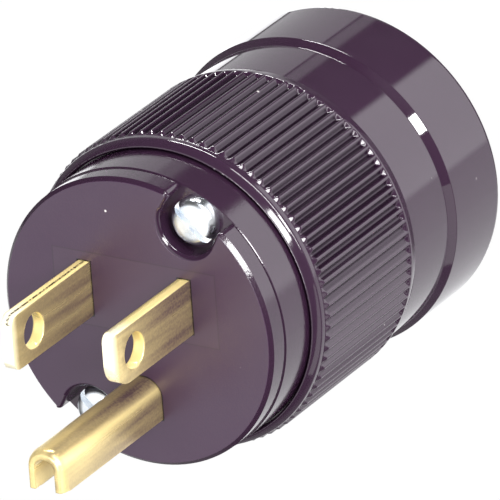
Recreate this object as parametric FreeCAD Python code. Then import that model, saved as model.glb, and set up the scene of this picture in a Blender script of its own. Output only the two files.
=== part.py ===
import FreeCAD, Part
import math
import os

# Straight-blade grounding plug, millimetres. The rear end stands on z = 0 and the blades point up (+Z).
# Seen from the blades with the ground pin below: +X is to the right, +Y is up.

# Lengths along the axis, from the rear end to the blade tips
band_length = 10.95
neck_length = 7.85
sleeve_length = 21.2
face_height = 7.4
blade_length = 15.9
pin_length = 20.4

# Front moulding
face_radius = 17.0
face_edge_round = 0.45
collar_step = 0.15
collar_bevel = 0.08
ledge_depth = 2.7
seat_depth = 1.5
block_depth = 11.5

# Fluted sleeve
joint_gap = 0.12
seat_width = 0.95
lip_wall = 1.03
lip_slope_width = 0.8
lip_slope_length = 0.85
mouth_bevel = 0.12
rib_height = 0.35
rib_count = 88
rib_base_width = 1.1
rib_crest_width = 0.28
rib_ramp = 0.6
front_land = 1.65
rear_land = 1.4
rim_slope_width = 0.3
rim_slope_length = 1.1

# Rear shell
neck_inset = 0.3
band_step = 0.65
step_length = 0.95
step_edge_round = 0.15
rear_edge_round = 1.0
shell_wall = 2.2
rear_wall = 3.0
spigot_wall = 1.2
cord_hole_radius = 5.25
cord_hole_flare = 0.8
boss_radius = 2.9
boss_foot = 9.0

# Slip fits between mouldings, and around blades and screws
slip_gap = 0.15
blade_gap = 0.08
screw_gap = 0.15

# Assembly screws and their thread inserts
screw_inset = 2.7
screw_angle = 60.5
notch_gap = 0.65
notch_corner = 0.6
screw_radius = 1.45
screw_head_radius = 2.75
screw_head_height = 1.7
screw_head_bevel = 0.55
slot_width = 0.8
slot_depth = 0.8
insert_radius = 2.1
insert_length = 6.0
insert_gap = 0.05
insert_floor = 2.2

# Blades: a strip folded on itself, with a bent tab inside the plug
blade_spacing = 12.7
blade_width = 6.35
blade_thickness = 1.52
blade_rise = 3.06
fold_round = 0.55
seam_width = 0.14
seam_depth = 1.0
tip_seam_radius = 2.3
tip_fold_radius = 1.4
tip_bevel_length = 1.1
tip_bevel_depth = 0.3
tip_crown = 0.35
blade_hole_radius = 1.98
blade_hole_from_face = 11.7
blade_hole_chamfer = 0.2
tab_width = 6.0

# Ground pin: a channel bent from thicker strip
pin_drop = 11.89
pin_width = 4.75
pin_wall = 1.15
pin_corner = 2.2
pin_bevel = 0.45
pin_bevel_length = 0.9
pin_tab_width = 5.2

# Carrier behind the front moulding
carrier_depth = 8.5
pocket_gap = 0.3
tab_cover = 1.8

# Terminals
plate_thickness = 1.2
plate_size = 5.0
terminal_screw_radius = 1.75
terminal_head_radius = 2.45
terminal_head_height = 2.2
terminal_head_bevel = 0.35
terminal_screw_length = 4.6

# Cord clamp
cord_grip_radius = 4.6
saddle_wall = 1.4
saddle_half_width = 10.2
saddle_length = 12.4
fan_out_length = 4.9
fan_out_web = 2.0
bar_length = 6.0
bar_setback = 0.3
bar_crown = 1.8
bar_ear = 3.0
clamp_edge = 2.2
clamp_screw_radius = 1.2
clamp_head_radius = 1.9
clamp_head_height = 1.6
clamp_screw_grip = 4.2

# Levels and radii that follow from the sizes above
z_band = band_length
z_neck = z_band + neck_length
z_sleeve = z_neck + sleeve_length
z_face = z_sleeve + face_height
z_ledge = z_face - ledge_depth
z_seat = z_sleeve - seat_depth
z_block = z_face - block_depth
z_carrier = z_block - carrier_depth
z_ribs_front = z_sleeve - front_land
z_ribs_rear = z_neck + rear_land
z_insert = boss_foot + insert_floor
z_bar = z_carrier - saddle_length + bar_setback

collar_radius = face_radius + collar_step
mouth_radius = collar_radius + joint_gap
bore_radius = collar_radius - seat_width
valley_radius = mouth_radius + lip_wall
crest_radius = valley_radius + rib_height
inner_radius = bore_radius - slip_gap
neck_radius = valley_radius - neck_inset
band_radius = neck_radius + band_step
hollow_radius = neck_radius - shell_wall
spigot_bore = inner_radius - spigot_wall
screw_circle = face_radius - screw_inset
notch_radius = screw_head_radius + notch_gap
clamp_screw_x = saddle_half_width - clamp_edge

screw_places = []
for turn in (0.0, 180.0):
    a = math.radians(screw_angle + turn)
    screw_places.append((screw_circle * math.cos(a), screw_circle * math.sin(a), screw_angle + turn))

V = FreeCAD.Vector
UP = V(0, 0, 1)


def cylinder(radius, z0, z1, x=0.0, y=0.0):
    return Part.makeCylinder(radius, z1 - z0, V(x, y, z0), UP)


def block(x0, x1, y0, y1, z0, z1):
    return Part.makeBox(x1 - x0, y1 - y0, z1 - z0, V(x0, y0, z0))


def face_of(points):
    return Part.Face(Part.makePolygon([V(*p) for p in points + points[:1]]))


def revolved(profile):
    """Solid of revolution about the plug's axis from (radius, z) corners."""
    return face_of([(r, 0, z) for r, z in profile]).revolve(V(0, 0, 0), UP, 360)


def circles(shape, radius, z, x=0.0, y=0.0):
    """Circular edges of that radius at height z about (x, y)."""
    chosen = []
    for edge in shape.Edges:
        curve = edge.Curve
        if isinstance(curve, Part.Circle) and abs(curve.Radius - radius) < 1e-4:
            if (curve.Center - V(x, y, z)).Length < 1e-4:
                chosen.append(edge)
    return chosen


def save(shape, node):
    if not shape.isValid():
        raise ValueError(node + " is not a valid solid")
    shape.exportStep("parts/" + node + ".step")
    print(node, len(shape.Solids), "solid(s)", round(shape.Volume, 1), "mm3")


os.makedirs("parts", exist_ok=True)


# Blade section and prisms
def blade_section(grow):
    """Flat section of a blade, larger by grow on every side, with its fold at +Y."""
    t = blade_thickness / 2 + grow
    w = blade_width / 2 + grow
    r = fold_round + grow
    k = r * (1 - math.sqrt(0.5))
    edges = [
        Part.LineSegment(V(t, -w, 0), V(t, w - r, 0)).toShape(),
        Part.Arc(V(t, w - r, 0), V(t - k, w - k, 0), V(t - r, w, 0)).toShape(),
        Part.LineSegment(V(t - r, w, 0), V(r - t, w, 0)).toShape(),
        Part.Arc(V(r - t, w, 0), V(k - t, w - k, 0), V(-t, w - r, 0)).toShape(),
        Part.LineSegment(V(-t, w - r, 0), V(-t, -w, 0)).toShape(),
        Part.LineSegment(V(-t, -w, 0), V(t, -w, 0)).toShape(),
    ]
    return Part.Face(Part.Wire(edges))


def blade_slot():
    """Through slot for a blade, standing on z_block and centred on the blade."""
    return blade_section(blade_gap).extrude(V(0, 0, block_depth)).translated(V(0, 0, z_block))


# A blade's tab runs out from under the carrier just far enough to carry its clamp plate
tab_half = tab_width / 2
blade_x = blade_spacing / 2
window_start = blade_x - blade_thickness / 2 + tab_cover
terminal_x = window_start + pocket_gap + plate_size / 2
tab_reach = terminal_x + plate_size / 2


def blade():
    """Neutral blade in place: folded strip, bevelled tip, hole, and the tab bent towards +X."""
    z_tip = z_face + blade_length
    z_tab = z_block - blade_thickness
    half_t = blade_thickness / 2
    half_w = blade_width / 2
    strip = blade_section(0).extrude(V(0, 0, z_tip - z_tab)).translated(V(0, 0, z_tab))
    outline = block(-half_t, half_t, -half_w, half_w, z_tab, z_tip)
    for y, radius in ((-half_w, tip_seam_radius), (half_w, tip_fold_radius)):
        corner = []
        for edge in outline.Edges:
            if edge.BoundBox.ZMin > z_tip - 1e-6 and abs(edge.CenterOfMass.y - y) < 1e-6:
                corner.append(edge)
        outline = outline.makeFillet(radius, corner)
    z_bevel = z_tip - tip_bevel_length
    z_crown = z_tip - tip_crown
    thin = half_t - tip_bevel_depth
    sides = Part.makePolygon([
        V(thin, -half_w, z_crown), V(half_t, -half_w, z_bevel), V(half_t, -half_w, z_tab),
        V(-half_t, -half_w, z_tab), V(-half_t, -half_w, z_bevel), V(-thin, -half_w, z_crown),
    ])
    crown = Part.Arc(V(-thin, -half_w, z_crown), V(0, -half_w, z_tip), V(thin, -half_w, z_crown)).toShape()
    tapered = Part.Face(Part.Wire(sides.Edges + [crown])).extrude(V(0, blade_width, 0))
    strip = strip.common(outline).common(tapered)
    seam = block(-seam_width / 2, seam_width / 2, -half_w, seam_depth - half_w, z_block, z_tip)
    z_hole = z_face + blade_hole_from_face
    hole = Part.makeCylinder(blade_hole_radius, blade_thickness, V(-half_t, 0, z_hole), V(1, 0, 0))
    wide = blade_hole_radius + blade_hole_chamfer
    near = Part.makeCone(blade_hole_radius, wide, blade_hole_chamfer,
                         V(half_t - blade_hole_chamfer, 0, z_hole), V(1, 0, 0))
    far = Part.makeCone(blade_hole_radius, wide, blade_hole_chamfer,
                        V(blade_hole_chamfer - half_t, 0, z_hole), V(-1, 0, 0))
    strip = strip.cut([seam, hole, near, far])
    tab = block(-half_t, tab_reach - blade_x, -tab_half, tab_half, z_tab, z_block)
    thread = cylinder(terminal_screw_radius + screw_gap, z_tab, z_block, terminal_x - blade_x)
    return strip.fuse(tab).cut(thread).removeSplitter().translated(V(blade_x, blade_rise, 0))


neutral_blade = blade()
line_blade = neutral_blade.copy()
line_blade.rotate(V(0, blade_rise, 0), UP, 180)


# Ground pin: a channel with a rounded back, open away from the blades
pin_y = blade_rise - pin_drop


def arch(width, height, corner, base):
    """Face with a flat foot at y = base and two round shoulders, centred on x = 0."""
    w = width / 2
    top = base + height
    k = corner * (1 - math.sqrt(0.5))
    edges = [
        Part.LineSegment(V(-w, base, 0), V(w, base, 0)).toShape(),
        Part.LineSegment(V(w, base, 0), V(w, top - corner, 0)).toShape(),
        Part.Arc(V(w, top - corner, 0), V(w - k, top - k, 0), V(w - corner, top, 0)).toShape(),
        Part.LineSegment(V(w - corner, top, 0), V(corner - w, top, 0)).toShape(),
        Part.Arc(V(corner - w, top, 0), V(k - w, top - k, 0), V(-w, top - corner, 0)).toShape(),
        Part.LineSegment(V(-w, top - corner, 0), V(-w, base, 0)).toShape(),
    ]
    return Part.Face(Part.Wire(edges))


pin_foot = pin_y - pin_width / 2


def pin_outside(grow, z):
    """Outer outline of the pin at height z, larger by grow all round."""
    outline = arch(pin_width + 2 * grow, pin_width + 2 * grow, pin_corner + grow, pin_foot - grow)
    return outline.translated(V(0, 0, z))


def pin_hollow(grow, z):
    """Outline of the channel's hollow at height z, smaller by grow and open at the foot."""
    outline = arch(pin_width - 2 * pin_wall - 2 * grow, pin_width - pin_wall + grow,
                   pin_corner - pin_wall - grow, pin_foot - 2 * grow)
    return outline.translated(V(0, 0, z))


pin_tab_end = pin_width / 2 + tab_cover + pocket_gap + 2 * terminal_head_radius
pin_screw_x = pin_width / 2 + tab_cover + pocket_gap / 2 + terminal_head_radius
pin_screw_y = pin_y - pocket_gap / 2

# Middle of each terminal screw, with the thickness of its tab
terminals = [
    (terminal_x, blade_rise, blade_thickness),
    (-terminal_x, blade_rise, blade_thickness),
    (pin_screw_x, pin_screw_y, pin_wall),
]


def ground_pin():
    z_tip = z_face + pin_length
    z_tab = z_block - pin_wall
    z_bevel = z_tip - pin_bevel_length
    end = arch(pin_width - 2 * pin_bevel, pin_width - pin_bevel, pin_corner - pin_bevel, pin_foot)
    end = end.translated(V(0, 0, z_tip))
    start = pin_outside(0, z_bevel)
    tip = Part.makeLoft([start.OuterWire, end.OuterWire], True, True)
    body = pin_outside(0, z_tab).extrude(V(0, 0, z_bevel - z_tab)).fuse(tip)
    body = body.cut(pin_hollow(0, z_tab).extrude(V(0, 0, z_tip - z_tab)))
    tab = block(pin_width / 2 - pin_wall, pin_tab_end, pin_screw_y - pin_tab_width / 2,
                pin_screw_y + pin_tab_width / 2, z_tab, z_block)
    thread = cylinder(terminal_screw_radius + screw_gap, z_tab, z_block, pin_screw_x, pin_screw_y)
    return body.fuse(tab).cut(thread).removeSplitter()


# Front moulding: face, ledges for the screws, slots, and a spigot that drops into the sleeve
def face_block():
    shape = revolved([
        (0, z_block), (inner_radius, z_block), (inner_radius, z_seat), (collar_radius, z_seat),
        (collar_radius, z_ledge), (face_radius, z_ledge), (face_radius, z_face), (0, z_face),
    ])
    shape = shape.makeChamfer(collar_bevel, circles(shape, collar_radius, z_ledge))
    notches = []
    cuts = []
    for x, y, angle in screw_places:
        notch = cylinder(notch_radius, z_ledge, z_face, x, y)
        mouth = block(0, face_radius, -notch_radius, notch_radius, z_ledge, z_face)
        mouth.rotate(V(0, 0, 0), UP, angle)
        notches.append(notch.fuse(mouth.translated(V(x, y, 0))).removeSplitter())
        cuts.append(cylinder(screw_radius + screw_gap, z_block, z_ledge, x, y))
    shape = shape.cut(notches)
    corners = []
    for edge in shape.Edges:
        middle = edge.CenterOfMass
        upright = abs(edge.BoundBox.ZLength - ledge_depth) < 1e-4
        if upright and abs(math.hypot(middle.x, middle.y) - face_radius) < 1e-4:
            corners.append(edge)
    shape = shape.makeFillet(notch_corner, corners)
    shape = shape.makeFillet(face_edge_round, [e for e in shape.Edges if e.BoundBox.ZMin > z_face - 1e-4])
    cuts.append(blade_slot().translated(V(blade_x, blade_rise, 0)))
    turned = blade_slot()
    turned.rotate(V(0, 0, 0), UP, 180)
    cuts.append(turned.translated(V(-blade_x, blade_rise, 0)))
    pin_slot = pin_outside(blade_gap, z_block).cut(pin_hollow(blade_gap, z_block))
    cuts.append(pin_slot.extrude(V(0, 0, block_depth)))
    for x, y, tab in terminals:
        depth = terminal_screw_length - plate_thickness - tab + screw_gap
        cuts.append(cylinder(terminal_screw_radius + screw_gap, z_block, z_block + depth, x, y))
    return shape.cut(cuts)


# Fluted sleeve: a fluted middle between a smooth front land and a rear rim
def ribbed_section():
    """Outline of the fluted middle: valley arcs joined by tapered ribs."""
    pitch = 2 * math.pi / rib_count
    base = rib_base_width / valley_radius / 2
    crest = rib_crest_width / crest_radius / 2

    def at(radius, angle):
        return V(radius * math.cos(angle), radius * math.sin(angle), 0)

    edges = []
    for i in range(rib_count):
        a = i * pitch
        b = a + pitch
        edges.append(Part.LineSegment(at(valley_radius, a - base), at(crest_radius, a - crest)).toShape())
        edges.append(Part.Arc(at(crest_radius, a - crest), at(crest_radius, a),
                              at(crest_radius, a + crest)).toShape())
        edges.append(Part.LineSegment(at(crest_radius, a + crest), at(valley_radius, a + base)).toShape())
        edges.append(Part.Arc(at(valley_radius, a + base), at(valley_radius, a + pitch / 2),
                              at(valley_radius, b - base)).toShape())
    return Part.Face(Part.Wire(edges))


def ribbed_body():
    middle = ribbed_section().extrude(V(0, 0, z_ribs_front - z_ribs_rear)).translated(V(0, 0, z_ribs_rear))
    over = crest_radius + rib_height
    rise = 2 * rib_ramp
    ramp = revolved([
        (valley_radius, z_ribs_front), (over, z_ribs_front - rise), (over, z_ribs_front + rise),
        (valley_radius, z_ribs_front + rise),
    ])
    middle = middle.cut(ramp)
    front = revolved([
        (0, z_ribs_front), (valley_radius, z_ribs_front), (valley_radius, z_sleeve - lip_slope_length),
        (valley_radius - lip_slope_width, z_sleeve), (0, z_sleeve),
    ])
    rim = revolved([
        (0, z_neck), (crest_radius - rim_slope_width, z_neck), (crest_radius, z_neck + rim_slope_length),
        (crest_radius, z_ribs_rear), (0, z_ribs_rear),
    ])
    shape = middle.fuse([front, rim]).removeSplitter()
    shape = shape.cut([cylinder(bore_radius, z_neck, z_sleeve), cylinder(mouth_radius, z_seat, z_sleeve)])
    return shape.makeChamfer(mouth_bevel, circles(shape, mouth_radius, z_sleeve))


# Rear shell: spigot, neck, sloping step, band, rear wall with the cord hole, and two screw bosses
def rear_housing():
    outside = revolved([
        (0, 0), (band_radius, 0), (band_radius, z_band - step_length), (neck_radius, z_band),
        (neck_radius, z_neck), (inner_radius, z_neck), (inner_radius, z_carrier), (0, z_carrier),
    ])
    outside = outside.makeFillet(rear_edge_round, circles(outside, band_radius, 0))
    step = circles(outside, band_radius, z_band - step_length) + circles(outside, neck_radius, z_band)
    outside = outside.makeFillet(step_edge_round, step)
    hollow = revolved([
        (0, rear_wall), (hollow_radius, rear_wall), (hollow_radius, z_neck - shell_wall),
        (spigot_bore, z_neck - shell_wall + hollow_radius - spigot_bore), (spigot_bore, z_carrier),
        (0, z_carrier),
    ])
    bosses = []
    bores = [cylinder(cord_hole_radius, 0, rear_wall)]
    for x, y, angle in screw_places:
        bosses.append(cylinder(boss_radius, boss_foot, z_carrier, x, y))
        bores.append(cylinder(screw_radius + screw_gap, boss_foot, z_carrier, x, y))
        bores.append(cylinder(insert_radius + insert_gap, z_insert, z_insert + insert_length, x, y))
    shape = outside.cut(hollow.cut(bosses)).cut(bores)
    return shape.makeChamfer(cord_hole_flare, circles(shape, cord_hole_radius, 0))


# Assembly screws and inserts
def assembly_screws():
    screws = []
    for x, y, angle in screw_places:
        top = z_ledge + screw_head_height
        head = cylinder(screw_head_radius, z_ledge, top, x, y)
        head = head.makeChamfer(screw_head_bevel, circles(head, screw_head_radius, top, x, y))
        shank = cylinder(screw_radius, z_insert, z_ledge, x, y)
        slot = block(-screw_head_radius, screw_head_radius, -slot_width / 2, slot_width / 2,
                     top - slot_depth, top)
        slot.rotate(V(0, 0, 0), UP, screw_angle + 75)
        screws.append(head.fuse(shank).cut(slot.translated(V(x, y, 0))).removeSplitter())
    return Part.makeCompound(screws)


def thread_inserts():
    inserts = []
    for x, y, angle in screw_places:
        sleeve = cylinder(insert_radius, z_insert, z_insert + insert_length, x, y)
        inserts.append(sleeve.cut(cylinder(screw_radius + insert_gap, z_insert, z_insert + insert_length, x, y)))
    return Part.makeCompound(inserts)


# Carrier: traps the tabs against the front moulding, with windows to the terminals, open at the rim,
# and a cord saddle
def terminal_block():
    shape = cylinder(inner_radius, z_carrier, z_block)
    z_saddle = z_carrier - saddle_length
    floor = -cord_grip_radius - saddle_wall
    saddle = block(-saddle_half_width, saddle_half_width, floor, 0, z_saddle, z_carrier)
    shape = shape.fuse(saddle)
    cuts = [cylinder(cord_grip_radius, z_saddle, z_carrier)]
    cuts.append(block(-saddle_half_width, saddle_half_width, floor + fan_out_web, 0,
                      z_carrier - fan_out_length, z_carrier))
    for side in (1, -1):
        reach = sorted((side * window_start, side * face_radius))
        cuts.append(block(reach[0], reach[1], blade_rise - tab_half - pocket_gap,
                          blade_rise + tab_half + pocket_gap, z_carrier, z_block))
        inner = sorted((side * (blade_x - blade_thickness / 2 - pocket_gap), side * window_start))
        half = blade_width / 2 + pocket_gap
        cuts.append(block(inner[0], inner[1], blade_rise - half, blade_rise + half,
                          z_block - blade_thickness, z_block))
        z_screw = z_bar + bar_length / 2
        cuts.append(Part.makeCylinder(clamp_screw_radius + screw_gap, clamp_screw_grip + screw_gap,
                                      V(side * clamp_screw_x, 0, z_screw), V(0, -1, 0)))
    half = pin_tab_width / 2 + pocket_gap
    cuts.append(block(pin_width / 2 + tab_cover, face_radius, pin_screw_y - half,
                      pin_screw_y + half, z_carrier, z_block))
    cuts.append(block(-pin_width / 2 - pocket_gap, pin_width / 2 + tab_cover, pin_screw_y - half,
                      max(pin_screw_y + half, pin_foot + pin_width + pocket_gap), z_block - pin_wall, z_block))
    for x, y, angle in screw_places:
        cuts.append(cylinder(screw_radius + screw_gap, z_carrier, z_block, x, y))
        mouth = block(0, face_radius, -screw_radius - screw_gap, screw_radius + screw_gap, z_carrier, z_block)
        mouth.rotate(V(0, 0, 0), UP, angle)
        cuts.append(mouth.translated(V(x, y, 0)))
    return shape.cut(cuts).removeSplitter()


def cord_clamp_bar():
    crown = cylinder(cord_grip_radius + bar_crown, z_bar, z_bar + bar_length)
    upper = block(-saddle_half_width, saddle_half_width, 0, cord_grip_radius + bar_crown, z_bar, z_bar + bar_length)
    ears = block(-saddle_half_width, saddle_half_width, 0, bar_ear, z_bar, z_bar + bar_length)
    shape = crown.common(upper).fuse(ears)
    cuts = [cylinder(cord_grip_radius, z_bar, z_bar + bar_length)]
    for x in (clamp_screw_x, -clamp_screw_x):
        cuts.append(Part.makeCylinder(clamp_screw_radius + screw_gap, bar_ear,
                                      V(x, 0, z_bar + bar_length / 2), V(0, 1, 0)))
    return shape.cut(cuts).removeSplitter()


def cord_clamp_screws():
    screws = []
    for x in (clamp_screw_x, -clamp_screw_x):
        z = z_bar + bar_length / 2
        head = Part.makeCylinder(clamp_head_radius, clamp_head_height, V(x, bar_ear, z), V(0, 1, 0))
        shank = Part.makeCylinder(clamp_screw_radius, bar_ear + clamp_screw_grip,
                                  V(x, -clamp_screw_grip, z), V(0, 1, 0))
        slot = block(x - clamp_head_radius, x + clamp_head_radius, bar_ear + clamp_head_height - slot_depth,
                     bar_ear + clamp_head_height, z - slot_width / 2, z + slot_width / 2)
        screws.append(head.fuse(shank).cut(slot).removeSplitter())
    return Part.makeCompound(screws)


# Terminal hardware: a clamp plate on each tab, and a screw through plate and tab
def clamp_plate(x, y, z_tab):
    half = plate_size / 2
    plate = block(x - half, x + half, y - half, y + half, z_tab - plate_thickness, z_tab)
    return plate.cut(cylinder(terminal_screw_radius + screw_gap, z_tab - plate_thickness, z_tab, x, y))


def terminal_screw(x, y, z_tab):
    z = z_tab - plate_thickness
    z_head = z - terminal_head_height
    head = cylinder(terminal_head_radius, z_head, z, x, y)
    head = head.makeChamfer(terminal_head_bevel, circles(head, terminal_head_radius, z_head, x, y))
    shank = cylinder(terminal_screw_radius, z, z + terminal_screw_length, x, y)
    slot = block(x - terminal_head_radius, x + terminal_head_radius, y - slot_width / 2, y + slot_width / 2,
                 z_head, z_head + slot_depth)
    return head.fuse(shank).cut(slot).removeSplitter()


z_blade_tab = z_block - blade_thickness
z_pin_tab = z_block - pin_wall

save(face_block(), "face_block")
save(ribbed_body(), "ribbed_body")
save(rear_housing(), "rear_housing")
save(terminal_block(), "terminal_block")
save(line_blade, "line_blade")
save(neutral_blade, "neutral_blade")
save(ground_pin(), "ground_pin")
save(clamp_plate(-terminal_x, blade_rise, z_blade_tab), "line_clamp_plate")
save(clamp_plate(terminal_x, blade_rise, z_blade_tab), "neutral_clamp_plate")
save(clamp_plate(pin_screw_x, pin_screw_y, z_pin_tab), "ground_clamp_plate")
save(terminal_screw(-terminal_x, blade_rise, z_blade_tab), "line_terminal_screw")
save(terminal_screw(terminal_x, blade_rise, z_blade_tab), "neutral_terminal_screw")
save(terminal_screw(pin_screw_x, pin_screw_y, z_pin_tab), "ground_terminal_screw")
save(cord_clamp_bar(), "cord_clamp_bar")
save(cord_clamp_screws(), "cord_clamp_screws")
save(assembly_screws(), "assembly_screws")
save(thread_inserts(), "thread_inserts")
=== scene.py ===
# %% [markdown]
# A round black mains plug, standing on its rear end with its blades up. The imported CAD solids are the
# frame: they fix every size and place. This lesson gives them finishes, remodels what needs finer edges
# than the solids carry, and sets the camera and a small studio around them.

# %% Load the frame
import math
import bmesh
import bpy
from mathutils import Matrix, Vector


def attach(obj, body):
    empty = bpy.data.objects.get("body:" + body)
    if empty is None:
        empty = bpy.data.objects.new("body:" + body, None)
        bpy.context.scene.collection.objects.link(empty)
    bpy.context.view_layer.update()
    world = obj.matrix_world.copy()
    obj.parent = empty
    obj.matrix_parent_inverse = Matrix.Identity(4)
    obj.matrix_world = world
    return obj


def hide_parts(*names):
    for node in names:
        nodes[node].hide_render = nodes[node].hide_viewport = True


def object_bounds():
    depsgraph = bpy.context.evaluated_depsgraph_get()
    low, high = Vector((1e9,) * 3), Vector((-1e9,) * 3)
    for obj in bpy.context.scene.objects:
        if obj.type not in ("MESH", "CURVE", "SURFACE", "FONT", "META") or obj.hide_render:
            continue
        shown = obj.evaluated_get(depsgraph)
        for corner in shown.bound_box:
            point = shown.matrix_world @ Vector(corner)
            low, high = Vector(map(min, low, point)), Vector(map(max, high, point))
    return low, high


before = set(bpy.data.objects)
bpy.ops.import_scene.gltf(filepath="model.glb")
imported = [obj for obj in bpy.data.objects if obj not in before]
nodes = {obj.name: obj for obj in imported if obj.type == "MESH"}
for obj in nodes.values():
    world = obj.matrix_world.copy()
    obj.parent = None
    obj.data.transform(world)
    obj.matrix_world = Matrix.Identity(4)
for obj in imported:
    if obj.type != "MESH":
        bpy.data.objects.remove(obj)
cad_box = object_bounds()
MM = 0.001
print("CAD nodes:", sorted(nodes), "box", [tuple(round(c, 4) for c in v) for v in cad_box])

# %% [markdown]
# The camera comes first, because every later choice is judged through it. The plug stands upright, but the
# picture was taken with the plug tilted, so the camera is rolled. A very long lens from about a metre away
# keeps the round edges nearly parallel, as a product photographer would do.

# %% Camera
camera_data = bpy.data.cameras.new("product_camera")
camera_data.sensor_width = 36.0
camera_data.lens = 648.0
camera_data.clip_start = 0.05
camera = bpy.data.objects.new("product_camera", camera_data)
camera.location = (0.48738, 0.40525, 0.78976)
camera.rotation_euler = [math.radians(a) for a in (-26.376, 30.734, -4.304)]
bpy.context.scene.collection.objects.link(camera)
bpy.context.scene.camera = camera
print("camera", tuple(round(c, 3) for c in camera.location))

# %% [markdown]
# Small node helpers keep the material cells readable: one adds a node with its settings, one links sockets.

# %% Node helpers
def add(tree, kind, **settings):
    node = tree.nodes.new(kind)
    for name, value in settings.items():
        setattr(node, name, value)
    return node


def new_material(name):
    material = bpy.data.materials.new(name)
    material.use_nodes = True
    tree = material.node_tree
    tree.nodes.clear()
    output = add(tree, "ShaderNodeOutputMaterial")
    shader = add(tree, "ShaderNodeBsdfPrincipled")
    tree.links.new(shader.outputs["BSDF"], output.inputs["Surface"])
    return material, tree, shader


print("node helpers ready")

# %% [markdown]
# Moulded plastic is never one even black. It has a faint mottling from the flow of the melt, a fine skin
# texture, and a few specks of dust. Three mouldings share these, so they are one node group with its own
# strengths in each material. It reads Object coordinates, which are metres here, so scales are large.

# %% Moulded skin group
skin = bpy.data.node_groups.new("moulded_skin", "ShaderNodeTree")
face_in = skin.interface
for label, kind, default in (
    ("Base", "NodeSocketColor", (0.02, 0.018, 0.022, 1)),
    ("Roughness", "NodeSocketFloat", 0.3),
    ("Mottle", "NodeSocketFloat", 0.3),
    ("Dust", "NodeSocketFloat", 0.5),
):
    socket = face_in.new_socket(label, in_out="INPUT", socket_type=kind)
    socket.default_value = default
face_in.new_socket("Color", in_out="OUTPUT", socket_type="NodeSocketColor")
face_in.new_socket("Roughness", in_out="OUTPUT", socket_type="NodeSocketFloat")
face_in.new_socket("Height", in_out="OUTPUT", socket_type="NodeSocketFloat")
group_in = add(skin, "NodeGroupInput")
group_out = add(skin, "NodeGroupOutput")
where = add(skin, "ShaderNodeTexCoord")
flow = add(skin, "ShaderNodeTexNoise")
flow.inputs["Scale"].default_value = 160
flow.inputs["Detail"].default_value = 4
grain = add(skin, "ShaderNodeTexNoise")
grain.inputs["Scale"].default_value = 3600
grain.inputs["Detail"].default_value = 3
specks = add(skin, "ShaderNodeTexVoronoi", feature="F1")
specks.inputs["Scale"].default_value = 700
speck_mask = add(skin, "ShaderNodeMapRange", clamp=True)
speck_mask.inputs["From Min"].default_value = 0.14
speck_mask.inputs["From Max"].default_value = 0.08
thinning = add(skin, "ShaderNodeMath", operation="GREATER_THAN")
thinning.inputs[1].default_value = 0.86
both = add(skin, "ShaderNodeMath", operation="MULTIPLY")
dusty = add(skin, "ShaderNodeMath", operation="MULTIPLY")
for texture in (flow, grain, specks):
    skin.links.new(where.outputs["Object"], texture.inputs["Vector"])
skin.links.new(specks.outputs["Distance"], speck_mask.inputs["Value"])
skin.links.new(specks.outputs["Color"], thinning.inputs[0])
skin.links.new(speck_mask.outputs["Result"], both.inputs[0])
skin.links.new(thinning.outputs["Value"], both.inputs[1])
skin.links.new(both.outputs["Value"], dusty.inputs[0])
skin.links.new(group_in.outputs["Dust"], dusty.inputs[1])
lighter = add(skin, "ShaderNodeMix", data_type="RGBA", blend_type="MIX")
lighter.inputs["B"].default_value = (0.05, 0.032, 0.053, 1)
amount = add(skin, "ShaderNodeMath", operation="MULTIPLY")
skin.links.new(flow.outputs["Fac"], amount.inputs[0])
skin.links.new(group_in.outputs["Mottle"], amount.inputs[1])
skin.links.new(amount.outputs["Value"], lighter.inputs["Factor"])
skin.links.new(group_in.outputs["Base"], lighter.inputs["A"])
dust = add(skin, "ShaderNodeMix", data_type="RGBA", blend_type="MIX")
dust.inputs["B"].default_value = (0.8, 0.76, 0.74, 1)
skin.links.new(dusty.outputs["Value"], dust.inputs["Factor"])
skin.links.new(lighter.outputs["Result"], dust.inputs["A"])
skin.links.new(dust.outputs["Result"], group_out.inputs["Color"])
rough = add(skin, "ShaderNodeMath", operation="MULTIPLY_ADD")
rough.inputs[1].default_value = 0.04
skin.links.new(flow.outputs["Fac"], rough.inputs[0])
skin.links.new(group_in.outputs["Roughness"], rough.inputs[2])
skin.links.new(rough.outputs["Value"], group_out.inputs["Roughness"])
skin.links.new(grain.outputs["Fac"], group_out.inputs["Height"])
print("moulded skin group:", len(skin.nodes), "nodes")

# %% [markdown]
# The front moulding is satin on its face and polished on its walls; the grip and the rear shell are polished.
# Each is a Principled shader fed by the group, with its own roughness and a light bump from the skin's grain.

# %% Black plastics
def moulded(name, base, roughness, mottle, dust_amount, bump):
    """Plastic finish from the skin group; returns its material, tree, shader and group."""
    material, tree, shader = new_material(name)
    group = add(tree, "ShaderNodeGroup", node_tree=skin)
    group.inputs["Base"].default_value = (*base, 1)
    group.inputs["Roughness"].default_value = roughness
    group.inputs["Mottle"].default_value = mottle
    group.inputs["Dust"].default_value = dust_amount
    relief = add(tree, "ShaderNodeBump")
    relief.inputs["Strength"].default_value = bump
    relief.inputs["Distance"].default_value = 0.00002
    tree.links.new(group.outputs["Height"], relief.inputs["Height"])
    tree.links.new(group.outputs["Color"], shader.inputs["Base Color"])
    tree.links.new(group.outputs["Roughness"], shader.inputs["Roughness"])
    tree.links.new(relief.outputs["Normal"], shader.inputs["Normal"])
    shader.inputs["Specular IOR Level"].default_value = 0.7
    return material, tree, shader, group


grip_black, grip_tree, grip_shader, grip_skin = moulded("grip_black", (0.023, 0.0095, 0.0225), 0.06, 0.2, 0.5, 0.1)
shell_black = moulded("shell_black", (0.023, 0.0095, 0.0225), 0.03, 0.2, 0.1, 0.04)[0]
carrier_grey = moulded("carrier_grey", (0.03, 0.03, 0.032), 0.4, 0.4, 0.2, 0.4)[0]
print("plastics:", grip_black.name, shell_black.name, carrier_grey.name)

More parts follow.
